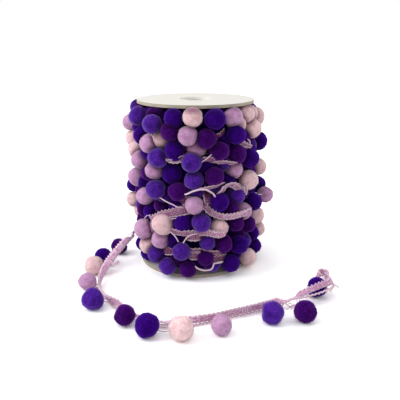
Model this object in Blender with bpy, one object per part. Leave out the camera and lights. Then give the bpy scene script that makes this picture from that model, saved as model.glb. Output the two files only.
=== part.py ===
"""A roll of pompom trim: a bored card reel, the trim wound on it, and its free tail.

The reel stands on its lower flange with its axis along +Z, and the origin is the point
of the floor on that axis.  The tail leaves the winding on the left, comes down to the
floor and lies in a loose curve across the front to its knotted end.  Sizes are in
millimetres and are turned to metres where a mesh is finished.
"""
import math
import random

import bmesh
import bpy
from mathutils import Matrix, Vector

MM = 0.001
GAP = 0.3                    # clearance between neighbouring pieces
UP = Vector((0.0, 0.0, 1.0))

# Surface colours, and the order in which the pompoms repeat along the braid
CARD = "EFEBE4"
MAUVE = "BE94B2"
VIOLET = "4A1F89"
POMPOM_ORDER = ("370A57", "33046F", "EBD3CF", "C59EBF", VIOLET)

# Card reel
REEL_HEIGHT = 87.0
FLANGE_RADIUS = 30.0
FLANGE_THICKNESS = 1.5
BORE_RADIUS = 8.0
CORE_WALL = 2.0
REEL_SIDES = 40

# Wound trim
WINDING_CREST = 34.0         # radius over the braid turns, which the pompoms stand half out of
WINDING_VALLEY = 33.0        # radius between the braid turns
WINDING_SHOULDER = 29.0      # radius against each flange
WINDING_ROOT = 26.0          # radius that the sewn threads reach in to
BRAID_TURNS = 8
WINDING_SIDES = 24
POMPOM_RADIUS = 5.0
POMPOM_SPIN = 0.83           # radians that each pompom is turned from the one before

# Distance from the reel's axis to the middle of a pompom, for each layer of the winding
IN, MID, OUT, FAR = 28.8, 31.0, 32.8, 34.4
ROOT_RADIUS = 0.9            # the sewn threads that hold an outstanding pompom

# Pompoms over the front half of the winding, one row for each turn of trim from the top.
# Each entry is (angle in degrees, height in mm, layer); the angle grows to the right.
FRONT_TURNS = (
    ((-108, 80, MID), (-82, 80, MID), (-42, 81, IN), (-19, 81, MID), (-2, 81, OUT),
     (16, 81, OUT), (35, 80, MID), (58, 81, IN), (86, 78, MID)),
    ((-99, 74, FAR), (-38, 78, OUT), (-22, 75, MID), (-6, 73, OUT), (9, 72, OUT),
     (36, 73, OUT), (64, 74, MID), (98, 64, FAR)),
    ((-97, 66, OUT), (-75, 70, IN), (-46, 68, MID), (-18, 66, MID), (20, 66, OUT),
     (40, 63, MID), (55, 60, OUT)),
    ((-75, 62, MID), (-33, 62, OUT), (-64, 58, MID), (-3, 61, OUT), (40, 55, IN),
     (97, 50, FAR)),
    ((-83, 47, MID), (-103, 39, FAR), (-40, 55, MID), (-23, 54, IN), (-1, 52, MID),
     (16, 54, OUT), (54, 49, OUT)),
    ((97, 40, FAR), (-36, 46, OUT), (-16, 46, MID), (-55, 40, MID), (-100, 31, FAR),
     (40, 42, MID), (21, 41, OUT), (64, 36, OUT)),
    ((-1, 40, OUT), (33, 37, MID), (-66, 32, MID), (50, 34, MID), (87, 24, OUT)),
    ((-29, 29, OUT), (-55, 23, OUT), (-11, 30, MID), (5, 31, OUT), (22, 27, MID),
     (40, 28, MID), (60, 24, MID), (93, 15, FAR)),
    ((75, 16, MID), (-32, 20, MID), (9, 20, OUT), (27, 18, MID), (43, 16, OUT),
     (76, 8, MID), (-80, 9, IN), (-52, 14, MID)),
    ((-39, 11, MID), (-12, 16, OUT), (9, 11, MID), (35, 7, MID), (60, 6, MID),
     (-26, 7, MID), (-7, 6, IN)),
)

# Pompoms round the back of the winding
BACK_TURNS = 10
BACK_TOP = 80.0
BACK_BOTTOM = 7.0
BACK_FROM = 108.0            # degrees, just past the right-hand edge of the front
BACK_TO = 244.0
BACK_STEP = 25.0
BACK_STRAY_DEGREES = 3.0     # how far a pompom may lie out of line
BACK_STRAY_HEIGHT = 2.0
BACK_LAYERS = (OUT, MID, OUT, OUT, MID)
TAIL_WINDOW = (225.0, 16.5, 8.5)   # angle past which, and height about which, none sits

# Pompoms that stand clear of the winding on their threads: (angle, height, reach)
LOOSE_POMPOMS = ((87, 36, 37.6), (-119, 72, 41.6))
LOOSE_RADIUS = 4.6

# Free tail of the braid: its middle line from the winding to the knot, in mm, with the
# lean of the tape away from upright in degrees, its top edge towards the outer side
TAIL_ROUTE = (
    (-35.1, -1.5, 13.6, -6), (-37.8, -6.5, 11.8, 12), (-41.2, -12.5, 9.2, 20),
    (-44.0, -18.5, 7.0, 24), (-46.2, -25.0, 5.2, 22), (-47.3, -32.0, 3.9, 14),
    (-47.2, -39.0, 3.1, 6), (-45.9, -45.5, 2.8, 4), (-43.0, -51.2, 2.8, 12),
    (-38.8, -56.4, 2.8, -4), (-33.4, -61.2, 2.2, -60), (-27.2, -66.0, 1.6, -92),
    (-20.2, -70.6, 1.8, -100), (-12.4, -73.8, 2.0, -98), (-4.0, -74.8, 2.5, -50),
    (5.0, -73.2, 2.7, 0), (14.6, -69.4, 2.7, 2), (23.5, -65.8, 2.7, 0),
    (31.0, -62.6, 2.8, -12), (37.5, -59.6, 3.0, -60), (43.0, -57.6, 3.8, -98),
    (48.0, -56.9, 5.0, -80), (53.0, -56.4, 6.6, -62), (58.0, -54.9, 7.7, -54),
    (62.2, -51.4, 7.7, -48), (64.4, -46.4, 6.8, -36), (64.9, -41.2, 5.2, -14),
    (64.6, -35.9, 3.5, 0),
)
TAPE_WIDTH = 5.0             # braid with the pale cord along its lower edge
TAPE_THICKNESS = 1.0
ROUTE_STEPS = 2              # samples for each stretch of the route

# Pompoms of the tail as they lie on the floor, (x, y, radius), from the winding outwards
TAIL_POMPOMS = (
    (-43.2, 0.9, 4.7), (-49.6, -13.6, 4.8), (-52.6, -25.0, 4.8), (-52.6, -42.2, 4.5),
    (-46.6, -60.2, 4.9), (-30.0, -73.4, 4.6), (-19.6, -82.2, 4.9), (-5.8, -84.6, 4.9),
    (10.8, -80.6, 4.5), (32.8, -72.0, 5.1), (47.0, -71.0, 4.7), (57.2, -49.0, 4.9),
)
SETTLE = 0.6                 # how far a pompom on the floor flattens
CORD_RADIUS = 0.45           # pale edge cord that the threads are sewn into
CORD_GAP = 0.45              # clearance of that cord, which runs straight where the tape bends
THREAD_RADIUS = 0.4
THREAD_SPREAD = 2.6          # each leg of a thread V meets the cord this far from its middle
INNER_SPREAD = 0.9           # the same for a pompom on the inner side, where the tape bends

# Knot at the end of the tail
KNOT_MIDDLE = (64.2, -32.6)
KNOT_SIZE = (7.2, 5.4, 5.0)


def clear_scene():
    for item in list(bpy.data.objects):
        bpy.data.objects.remove(item, do_unlink=True)


def linear(hex_colour):
    """Red, green, blue and alpha as Blender stores them, from an sRGB hex colour."""
    channels = [int(hex_colour[start:start + 2], 16) / 255 for start in (0, 2, 4)]
    shades = [c / 12.92 if c <= 0.04045 else ((c + 0.055) / 1.055) ** 2.4 for c in channels]
    return (*shades, 1.0)


def plain_material(name, hex_colour, roughness):
    material = bpy.data.materials.new(name)
    material.use_nodes = True
    shader = material.node_tree.nodes["Principled BSDF"]
    shader.inputs["Base Color"].default_value = linear(hex_colour)
    shader.inputs["Roughness"].default_value = roughness
    shader.inputs["Metallic"].default_value = 0.0
    return material


def finish_object(name, bm, material, smooth_angle=40.0):
    """Turn a mesh built in millimetres into a named object in metres."""
    bmesh.ops.scale(bm, vec=(MM, MM, MM), verts=bm.verts)
    bmesh.ops.recalc_face_normals(bm, faces=bm.faces)
    mesh = bpy.data.meshes.new(name)
    bm.to_mesh(mesh)
    bm.free()
    mesh.materials.append(material)
    mesh.shade_smooth()
    mesh.set_sharp_from_angle(angle=math.radians(smooth_angle))
    piece = bpy.data.objects.new(name, mesh)
    bpy.context.collection.objects.link(piece)
    return piece


def fuse(piece, guide_name, bm):
    """Join a second mesh on to a piece, through a hidden helper object."""
    guide = finish_object(guide_name, bm, plain_material(guide_name, CARD, 0.8))
    guide.hide_render = True
    guide.display_type = "WIRE"
    union = piece.modifiers.new("fused", "BOOLEAN")
    union.operation = "UNION"
    union.solver = "EXACT"
    union.use_self = True
    union.object = guide


def turned_ring(profile, sides):
    """Spin a closed (radius, height) profile once round the Z axis."""
    bm = bmesh.new()
    corners = [bm.verts.new((radius, 0.0, height)) for radius, height in profile]
    edges = [bm.edges.new((a, b)) for a, b in zip(corners, corners[1:] + corners[:1])]
    bmesh.ops.spin(bm, geom=corners + edges, cent=(0, 0, 0), axis=(0, 0, 1),
                   angle=math.tau, steps=sides, use_merge=True)
    bmesh.ops.remove_doubles(bm, verts=bm.verts, dist=0.0001)
    return bm


def make_flange(name, floor):
    top = floor + FLANGE_THICKNESS
    profile = ((BORE_RADIUS, floor), (FLANGE_RADIUS, floor),
               (FLANGE_RADIUS, top), (BORE_RADIUS, top))
    card = plain_material(name, CARD, 0.75)
    return finish_object(name, turned_ring(profile, REEL_SIDES), card)


def make_core():
    low = FLANGE_THICKNESS + GAP
    high = REEL_HEIGHT - FLANGE_THICKNESS - GAP
    outer = BORE_RADIUS + CORE_WALL
    profile = ((BORE_RADIUS, low), (outer, low), (outer, high), (BORE_RADIUS, high))
    card = plain_material("core_tube", CARD, 0.75)
    return finish_object("core_tube", turned_ring(profile, REEL_SIDES), card)


def winding_profile(low, high):
    """The wound braid in section: a ridge for each turn, between two shoulders."""
    inner = BORE_RADIUS + CORE_WALL + GAP
    pitch = (high - low) / (BRAID_TURNS + 1)
    profile = [(inner, low), (WINDING_SHOULDER, low)]
    for turn in range(BRAID_TURNS):
        middle = low + pitch * (turn + 1)
        profile.append((WINDING_VALLEY, middle - pitch * 0.5))
        profile.append((WINDING_CREST, middle))
    profile.append((WINDING_VALLEY, high - pitch * 0.5))
    profile += [(WINDING_SHOULDER, high), (inner, high)]
    return profile


def on_winding(angle, height, reach):
    """The point at a height and a distance from the axis; angle 0 faces the front."""
    turn = math.radians(angle)
    return Vector((reach * math.sin(turn), -reach * math.cos(turn), height))


def back_pompoms():
    """The same pattern carried on round the back, clear of where the tail leaves."""
    shift = random.Random(7)
    window_angle, window_height, window_reach = TAIL_WINDOW
    for turn in range(BACK_TURNS):
        fall = turn / (BACK_TURNS - 1)
        height = BACK_TOP + (BACK_BOTTOM - BACK_TOP) * fall
        angle = BACK_FROM + (turn % 2) * BACK_STEP * 0.5
        place = turn
        while angle <= BACK_TO:
            layer = BACK_LAYERS[place % len(BACK_LAYERS)]
            at_angle = angle + shift.uniform(-1, 1) * BACK_STRAY_DEGREES
            at_height = height + shift.uniform(-1, 1) * BACK_STRAY_HEIGHT
            if at_angle < window_angle or abs(at_height - window_height) > window_reach:
                yield at_angle, at_height, layer
            angle += BACK_STEP
            place += 1


def add_ball(bm, middle, radius, tallness, spin):
    """One low-sided pompom, turned by spin so that no two line up."""
    ball = bmesh.ops.create_uvsphere(bm, u_segments=7, v_segments=5, radius=radius)
    turn = Matrix.Rotation(spin, 4, "Z") @ Matrix.Rotation(spin * 1.7, 4, "X")
    place = Matrix.Translation(middle) @ Matrix.Diagonal((1, 1, tallness, 1)) @ turn
    bmesh.ops.transform(bm, matrix=place, verts=ball["verts"])


def add_strand(bm, start, end, radius, sides=4):
    """A straight thread of a few sides from start to end."""
    run = end - start
    turn = run.to_track_quat("Z", "Y").to_matrix().to_4x4()
    strand = bmesh.ops.create_cone(bm, cap_ends=True, segments=sides, radius1=radius,
                                   radius2=radius, depth=run.length)
    place = Matrix.Translation((start + end) * 0.5) @ turn
    bmesh.ops.transform(bm, matrix=place, verts=strand["verts"])


def make_wound_trim():
    """The wound form in one solid: ridged braid turns with the pompoms fused on."""
    low = FLANGE_THICKNESS + GAP
    high = REEL_HEIGHT - FLANGE_THICKNESS - GAP
    winding = turned_ring(winding_profile(low, high), WINDING_SIDES)
    trim = finish_object("wound_trim", winding, plain_material("wound_trim", VIOLET, 0.95))

    balls = bmesh.new()
    front = [entry for turn in FRONT_TURNS for entry in turn]
    for count, (angle, height, reach) in enumerate(front + list(back_pompoms())):
        room = min(high - height, height - low, POMPOM_RADIUS)
        middle = on_winding(angle, height, reach)
        spin = count * POMPOM_SPIN
        add_ball(balls, middle, POMPOM_RADIUS, room / POMPOM_RADIUS, spin)
        if reach > OUT:
            add_strand(balls, on_winding(angle, height, WINDING_ROOT), middle, ROOT_RADIUS)
    for angle, height, reach in LOOSE_POMPOMS:
        loose = on_winding(angle, height, reach)
        add_ball(balls, loose, LOOSE_RADIUS, 1.0, reach)
        root = on_winding(angle, height + ROOT_RADIUS, WINDING_ROOT)
        add_strand(balls, root, loose, ROOT_RADIUS)

    fuse(trim, "pompom_guide", balls)
    return trim


def smooth_route(rows, steps):
    """Points of a smooth curve through the rows, with the lean carried along."""
    keys = [Vector(row) for row in rows]
    ends = [keys[0] * 2 - keys[1]] + keys + [keys[-1] * 2 - keys[-2]]
    samples = []
    for a, b, c, d in zip(ends, ends[1:], ends[2:], ends[3:]):
        for step in range(steps):
            t = step / steps
            bend = (a * 2 - b * 5 + c * 4 - d) * t * t + (b * 3 - a - c * 3 + d) * t ** 3
            samples.append(b + ((c - a) * t + bend) * 0.5)
    samples.append(keys[-1])
    return samples


def route_frames():
    """For each sample: its point, the way along, the outer side and the tape's up."""
    samples = smooth_route(TAIL_ROUTE, ROUTE_STEPS)
    frames = []
    for index, sample in enumerate(samples):
        before = samples[max(index - 1, 0)]
        after = samples[min(index + 1, len(samples) - 1)]
        along = (Vector(after[:3]) - Vector(before[:3])).normalized()
        side = along.cross(UP).normalized()
        lean = Matrix.Rotation(math.radians(sample[3]), 3, along)
        frames.append((Vector(sample[:3]), along, lean @ side, lean @ side.cross(along)))
    return frames


def make_tail_tape(frames):
    """The flat braid of the tail, standing on its edge, as a curve with rounded edges."""
    path = bpy.data.curves.new("tail_tape", "CURVE")
    path.dimensions = "3D"
    path.twist_mode = "Z_UP"
    path.fill_mode = "FULL"
    path.use_fill_caps = True
    path.extrude = (TAPE_WIDTH - TAPE_THICKNESS) * 0.5 * MM
    path.bevel_depth = TAPE_THICKNESS * 0.5 * MM
    path.bevel_resolution = 0
    spline = path.splines.new("POLY")
    spline.points.add(len(frames) - 1)
    for point, (middle, _, side, up) in zip(spline.points, frames):
        point.co = (*(middle * MM), 1.0)
        point.tilt = math.atan2(-side.z, up.z)
    path.materials.append(plain_material("tail_tape", MAUVE, 0.85))
    tape = bpy.data.objects.new("tail_tape", path)
    bpy.context.collection.objects.link(tape)
    return tape


def settle_on_floor(verts):
    """Press the lowest points of a piece flat on the floor."""
    for vert in verts:
        if vert.co.z < SETTLE:
            vert.co.z = 0.0


def make_tail_pompom(name, place, hex_colour, frames):
    """A pompom on the floor, its two threads, and the run of cord they are sewn into."""
    x, y, radius = place
    middle = Vector((x, y, radius - SETTLE * 0.5))
    root, along, side, up = min(frames, key=lambda frame: (frame[0] - middle).length)
    towards = math.copysign(1.0, side.dot(middle - root))
    outwards = side * towards * (TAPE_THICKNESS * 0.5 + CORD_GAP + CORD_RADIUS)
    cord = root + outwards - up * (TAPE_WIDTH * 0.5 - CORD_RADIUS)
    cord.z = max(cord.z, CORD_RADIUS + GAP)
    reach = along * (THREAD_SPREAD if towards > 0 else INNER_SPREAD)

    ball = bmesh.new()
    shape = bmesh.ops.create_icosphere(ball, subdivisions=2, radius=radius)
    bmesh.ops.translate(ball, vec=middle, verts=shape["verts"])
    settle_on_floor(shape["verts"])
    pompom = finish_object(name, ball, plain_material(name, hex_colour, 0.95))

    threads = bmesh.new()
    overrun = along * CORD_RADIUS
    add_strand(threads, cord - reach - overrun, cord + reach + overrun, CORD_RADIUS)
    inside = middle + (cord - middle) * 0.25
    add_strand(threads, cord - reach, inside, THREAD_RADIUS, sides=3)
    add_strand(threads, cord + reach, inside, THREAD_RADIUS, sides=3)

    fuse(pompom, name + "_guide", threads)
    return pompom


def make_tail_knot():
    """The bunched knot that ends the braid, resting on the floor."""
    x, y = KNOT_MIDDLE
    width, depth, height = KNOT_SIZE
    bm = bmesh.new()
    shape = bmesh.ops.create_icosphere(bm, subdivisions=2, radius=0.5)
    bmesh.ops.scale(bm, vec=(width, depth, height), verts=shape["verts"])
    bmesh.ops.translate(bm, vec=(x, y, height * 0.5 - SETTLE * 0.5), verts=shape["verts"])
    settle_on_floor(shape["verts"])
    return finish_object("tail_knot", bm, plain_material("tail_knot", MAUVE, 0.85))


def main():
    clear_scene()
    make_flange("flange_bottom", 0.0)
    make_core()
    make_flange("flange_top", REEL_HEIGHT - FLANGE_THICKNESS)
    make_wound_trim()
    frames = route_frames()
    make_tail_tape(frames)
    for number, place in enumerate(TAIL_POMPOMS):
        hex_colour = POMPOM_ORDER[number % len(POMPOM_ORDER)]
        make_tail_pompom(f"tail_pompom_{number + 1:02d}", place, hex_colour, frames)
    make_tail_knot()


main()
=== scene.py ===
# %% [markdown]
# # A roll of pompom trim
#
# Pompom trim is a narrow ribbed braid with a pale cord sewn along its lower edge, and a small
# yarn ball hanging from that cord on two threads every couple of centimetres. A shop gets it
# wound in layers on a white card reel, and here its free end lies on the table.
#
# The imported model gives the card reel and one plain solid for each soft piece, at their real
# sizes. This lesson keeps the card, gives it a finish, and puts the real surface over each
# soft solid: braid, cords, threads and pompoms. The model is loaded first, because every
# later size is read from it or made to fit it, and it is never moved.

import math
import random

import bmesh
import bpy
import numpy as np
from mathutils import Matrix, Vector, noise


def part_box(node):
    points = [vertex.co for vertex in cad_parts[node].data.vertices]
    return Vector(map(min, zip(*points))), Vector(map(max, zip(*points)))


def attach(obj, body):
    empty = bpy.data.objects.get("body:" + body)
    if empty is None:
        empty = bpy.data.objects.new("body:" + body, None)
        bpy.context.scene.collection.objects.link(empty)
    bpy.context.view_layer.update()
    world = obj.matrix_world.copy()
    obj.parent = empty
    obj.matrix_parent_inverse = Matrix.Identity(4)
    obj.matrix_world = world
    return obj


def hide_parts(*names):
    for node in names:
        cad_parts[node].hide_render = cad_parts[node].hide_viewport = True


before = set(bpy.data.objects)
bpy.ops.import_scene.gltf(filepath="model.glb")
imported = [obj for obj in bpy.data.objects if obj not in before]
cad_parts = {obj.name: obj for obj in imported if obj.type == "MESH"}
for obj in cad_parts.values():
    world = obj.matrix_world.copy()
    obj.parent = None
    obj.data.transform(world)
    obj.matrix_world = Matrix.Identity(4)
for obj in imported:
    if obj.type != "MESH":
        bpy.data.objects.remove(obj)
scene = bpy.context.scene
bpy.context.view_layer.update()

# %% [markdown]
# ## Sizes
#
# The sizes below are in millimetres, as a haberdasher would give them, and become metres
# where a mesh is finished. The reel's own are measured on its solids, so that the soft pieces
# always fit it.

# %% Sizes of the reel and the trim
MM = 0.001
UP = np.array((0.0, 0.0, 1.0))

flange_low, flange_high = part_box("flange_top")
FLANGE_RADIUS = flange_high.x / MM
REEL_HEIGHT = flange_high.z / MM
FLANGE_THICKNESS = (flange_high.z - flange_low.z) / MM
GAP = 0.3                    # clearance that every piece keeps to its neighbour
WOUND_LOW = FLANGE_THICKNESS + GAP
WOUND_HIGH = REEL_HEIGHT - FLANGE_THICKNESS - GAP

BRAID_WIDTH = 4.05           # the ribbed part
BRAID_THICKNESS = 0.7
EDGE_CORD = 1.0              # diameter of the pale cord along the lower edge
TAPE_WIDTH = 5.0             # both together
BRAID_RISE = (TAPE_WIDTH - BRAID_WIDTH) * 0.5     # the braid's middle above the tape's
CORD_DROP = (TAPE_WIDTH - EDGE_CORD) * 0.5        # the cord's middle below the tape's
POMPOM_RADIUS = 5.0
THREAD = 0.5                 # diameter of the threads that a pompom hangs from
print(f"Reel {2 * FLANGE_RADIUS:.1f} mm across and {REEL_HEIGHT:.1f} mm high")

# %% [markdown]
# ## Camera
#
# A product picture of a small roll is taken from a little above, at about arm's length for
# its size. The lens is worked out from the picture's side in pixels, and a slight shift puts
# the reel's axis a little left of the middle, which leaves room for the free end on the right.

# %% Camera
IMAGE_SIDE = 400             # pixels
FOCAL_LENGTH = 492           # pixels
AXIS_LEFT = 4.7              # pixels from the picture's middle to the reel's axis
CAMERA_DISTANCE = 257        # mm in front of the axis
CAMERA_HEIGHT = 113.9        # mm above the table
CAMERA_DIP = 17.64           # degrees below level
SEEN_FROM, SEEN_TO = 0.01, 50.0      # metres in front of the camera

def new_object(name, data):
    """An object at the origin that shows the data, put into the scene."""
    made = bpy.data.objects.new(name, data)
    scene.collection.objects.link(made)
    return made


camera_data = bpy.data.cameras.new("picture_camera")
camera_data.lens = camera_data.sensor_width * FOCAL_LENGTH / IMAGE_SIDE
camera_data.shift_x = AXIS_LEFT / IMAGE_SIDE
camera_data.clip_start = SEEN_FROM
camera_data.clip_end = SEEN_TO
camera = new_object("picture_camera", camera_data)
camera.location = (0.0, -CAMERA_DISTANCE * MM, CAMERA_HEIGHT * MM)
camera.rotation_euler = (math.radians(90 - CAMERA_DIP), 0.0, 0.0)
scene.camera = camera
print(f"Lens {camera_data.lens:.1f} mm")

# %% [markdown]
# ## Helpers for lines
#
# Braid and cord both follow a line through space. A few listed points give its course, and a
# Catmull-Rom curve goes smoothly through them. The curve is then cut into even steps, because
# the ribs of a braid are evenly spaced along it. At each step a tape needs to know which way
# it runs, which way its face looks, and which way its upper edge points.

# %% Smooth lines and their frames
def smooth_rows(rows, steps=16):
    """A curve through rows of numbers, in so many steps from each row to the next."""
    keys = np.array(rows, float)
    ends = np.vstack([2 * keys[0] - keys[1], keys, 2 * keys[-1] - keys[-2]])
    t = np.linspace(0.0, 1.0, steps, endpoint=False)[:, None]
    runs = []
    for a, b, c, d in zip(ends, ends[1:], ends[2:], ends[3:]):
        bend = (2 * a - 5 * b + 4 * c - d) * t ** 2 + (3 * b - a - 3 * c + d) * t ** 3
        runs.append(b + ((c - a) * t + bend) * 0.5)
    return np.vstack([*runs, keys[-1:]])


def even_steps(line, step):
    """The same line as three or more points an even step apart, and the distance along it."""
    reached = np.concatenate([[0.0], np.cumsum(np.linalg.norm(np.diff(line[:, :3], axis=0), axis=1))])
    along = np.linspace(0.0, reached[-1], max(3, round(reached[-1] / step) + 1))
    return np.column_stack([np.interp(along, reached, column) for column in line.T]), along


def unit(vectors):
    return vectors / np.linalg.norm(vectors, axis=1, keepdims=True)


class Course:
    """A line with, at each point, the way along, the tape's face and its upper edge.

    Its share says how much of the braid's full width is left where the braid is gathered, its
    lift how many mm the braid has come away from its cord, its loops how far the edge loops
    stand out, as a share of their full depth, and its shade what share of the light it gets.
    """

    def __init__(self, points, reached, face, lean, share=1.0):
        self.points, self.reached = points, reached
        ones = np.ones(len(points))
        self.share, self.lift, self.loops, self.shade = share * ones, 0.0 * ones, ones, ones
        self.along = unit(np.gradient(points, axis=0))
        face = unit(face - np.sum(face * self.along, axis=1)[:, None] * self.along)
        angle = np.radians(lean)[:, None]
        self.face = face * np.cos(angle) + np.cross(self.along, face) * np.sin(angle)
        self.up = np.cross(self.face, self.along)


def free_course(rows, step):
    """A course for (x, y, z, lean) rows, its face square to the way along and level."""
    line, reached = even_steps(smooth_rows(rows), step)
    points = line[:, :3]
    return Course(points, reached, np.cross(np.gradient(points, axis=0), UP), line[:, 3])


def on_roll(angle, height, reach):
    """Points at a height and a distance from the axis; angle 0 faces the front."""
    turn = np.radians(angle)
    return np.column_stack([reach * np.sin(turn), -reach * np.cos(turn), height])


DEPTHS, DEPTH_SHADES = (31.0, 36.0), (0.0, 0.9)       # mm from the axis, share of the light
LOOPS_TO_SHARE, MOST_LOOPS = 1.5, 1.3        # loops fade with the braid's share of its width

def wound_course(rows, step, share=1.0):
    """A course for (angle, height, reach, lean) rows, its face away from the axis.

    Its share of the full width is one number, or two where it tapers from end to end. The
    deeper it lies between the pompoms, the more of its light their fuzz takes.
    """
    table = smooth_rows(rows)
    line = np.column_stack([on_roll(*table.T[:3]), table[:, 3]])
    line, reached = even_steps(line, step)
    points = line[:, :3]
    reach = np.hypot(points[:, 0], points[:, 1])
    share = np.linspace(*np.broadcast_to(share, 2), len(points))
    course = Course(points, reached, points * (1.0, 1.0, 0.0), line[:, 3], share)
    course.loops = np.minimum(MOST_LOOPS, share * LOOPS_TO_SHARE)
    course.shade = np.interp(reach, DEPTHS, DEPTH_SHADES)
    return course


print("Line helpers ready")

# %% [markdown]
# ## Helpers for meshes
#
# Every piece is finished the same way: its points turn from millimetres to metres, and its
# object stays at the origin and rides on the model's one body. Small things that repeat are
# stamped: one template is made with Blender's operators, and its copies are placed in arrays
# and joined into one mesh, which takes a blink for thousands of them.

# %% Finishing and stamping meshes
def ride_on_reel(piece, finish, node):
    """Give a finished piece its material and its body, and hide the solid that it stands for."""
    piece.data.materials.append(finish)
    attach(piece, "root")
    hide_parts(node)
    return piece


def piece_from_bmesh(name, bm):
    """Turn a mesh built in millimetres into an object in metres."""
    bmesh.ops.scale(bm, vec=(MM, MM, MM), verts=bm.verts)
    bmesh.ops.recalc_face_normals(bm, faces=bm.faces)
    mesh = bpy.data.meshes.new(name)
    bm.to_mesh(mesh)
    bm.free()
    mesh.shade_smooth()
    return new_object(name, mesh)


def template(bm):
    """The points and triangles of a small mesh, as arrays to stamp copies from."""
    bmesh.ops.triangulate(bm, faces=bm.faces)
    points = np.array([vert.co for vert in bm.verts])
    faces = np.array([[vert.index for vert in face.verts] for face in bm.faces])
    bm.free()
    return points, faces


def stamp(shape, places):
    """Copies of a template, one for each 3x4 place (turn and scale, then position)."""
    points, faces = shape
    copies = np.einsum("nij,pj->npi", places[:, :, :3], points) + places[:, None, :, 3]
    shifts = np.arange(len(places)) * len(points)
    return copies.reshape(-1, 3), (faces[None] + shifts[:, None, None]).reshape(-1, 3)


def join_parts(parts):
    """Join (points, triangles, shade) parts into one set of arrays."""
    counts = np.cumsum([0] + [len(points) for points, _, _ in parts])
    points = np.vstack([part[0] for part in parts])
    faces = np.vstack([part[1] + count for part, count in zip(parts, counts)])
    shades = np.concatenate([np.broadcast_to(part[2], len(part[0])) for part in parts])
    return points, faces, shades


def piece_from_parts(name, parts):
    """One smooth object from stamped parts, with each part's shade kept on its points."""
    points, faces, shades = join_parts(parts)
    mesh = bpy.data.meshes.new(name)
    mesh.from_pydata((points * MM).tolist(), [], faces.tolist())
    mesh.attributes.new("shade", "FLOAT", "POINT").data.foreach_set("value", shades)
    mesh.shade_smooth()
    return new_object(name, mesh)


print("Mesh helpers ready")

# %% [markdown]
# ## Helpers for finishes
#
# Colours are written as hex values, as a paint or yarn card gives them, and one function turns
# them to the linear values that a renderer adds and multiplies. Patterns are given by their
# real size in millimetres.
#
# Between two real pompoms the fuzz of both takes the light away. The balls here are closed
# surfaces with few tufts, which would let too much of it in. So each point of a pompom or a
# braid carries a shade, the share of the light that gets to it, and its finish is darkened by
# that, as painted shade. A shade over one is painted light, which makes the tail's pompoms and
# parts of its braid lighter.

# %% Colours, nodes and pattern scale
def linear(hex_colour):
    """Red, green, blue and alpha in linear light, from an sRGB hex colour."""
    channels = [int(hex_colour[start:start + 2], 16) / 255 for start in (0, 2, 4)]
    shades = [c / 12.92 if c <= 0.04045 else ((c + 0.055) / 1.055) ** 2.4 for c in channels]
    return (*shades, 1.0)


def per_mm(size):
    """The scale at which a pattern repeats about once in this many millimetres."""
    return 1.0 / (size * MM)


def set_inputs(node, inputs):
    """Give each named input a plain value, a hex colour or a link from another node's output."""
    for name, value in inputs.items():
        if isinstance(value, bpy.types.NodeSocket):
            node.id_data.links.new(value, node.inputs[name])
        else:
            node.inputs[name].default_value = linear(value) if isinstance(value, str) else value


def add_node(tree, kind, settings=None, inputs=None):
    """Add one node of a kind, such as "Mix" for Blender's ShaderNodeMix."""
    node = tree.nodes.new("ShaderNode" + kind)
    for name, value in (settings or {}).items():
        setattr(node, name, value)
    set_inputs(node, inputs or {})
    return node


def new_finish(name, inputs):
    """A material with a Principled shader; inputs are its values that are even all over."""
    material = bpy.data.materials.new(name)
    material.use_nodes = True
    shader = material.node_tree.nodes["Principled BSDF"]
    set_inputs(shader, inputs)
    return material, material.node_tree, shader


# A Mix node has sockets for numbers, for vectors and for colours. These are its colour ones.
MIX_COLOURS = {"data_type": "RGBA"}
SHARE, FIRST, SECOND, MIXED = 0, 6, 7, 2
GAP_TINT = "7C4470"          # what white looks like where the shade is nothing
WHITE = (1.0, 1.0, 1.0, 1.0)

def in_the_gaps(tree, colour):
    """The colour as it looks in the light that its shade attribute gives it.

    Light that does get in between the pompoms comes off dark yarn, so it is also tinted.
    """
    shade = add_node(tree, "Attribute", {"attribute_name": "shade"})
    light = add_node(tree, "Mix", {**MIX_COLOURS, "clamp_factor": False}, {
        SHARE: shade.outputs["Fac"], FIRST: GAP_TINT, SECOND: WHITE})
    return add_node(tree, "VectorMath", {"operation": "MULTIPLY"}, {
        0: colour, 1: light.outputs[MIXED]}).outputs["Vector"]


print("Finish helpers ready")

# %% [markdown]
# ## The card
#
# The reel is greyboard lined with white paper. It is matt, a touch warm, and its smooth sheet
# shows only a faint cloudiness from the paper's fibres. The sheet is cut at the rim, and there
# the board's core shows a little yellower, and that colour is darkened further as painted shade
# under the rim. The spindle hole and a thin band round it are painted whiter than the sheet, a
# painted light that lifts the shade inside the hole. How far a point is from the axis tells
# these apart.

# %% White card
# The core's colour is partly painted shade under the rim, and the bore's is painted light.
CARD_SHEET, CARD_CLOUD, CARD_CORE_AND_SHADE, CARD_BORE_PAINTED_LIGHT = "D6D4CE", "CECBC3", "ACA290", "F6F4EE"
RIM_BAND = 0.12              # how far in from the rim the cut edge's colour and its painted shade reach
BORE_RADIUS, BORE_LIGHT_BAND = 8.0, 0.12          # the spindle hole, and how far past it the painted light reaches

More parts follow.
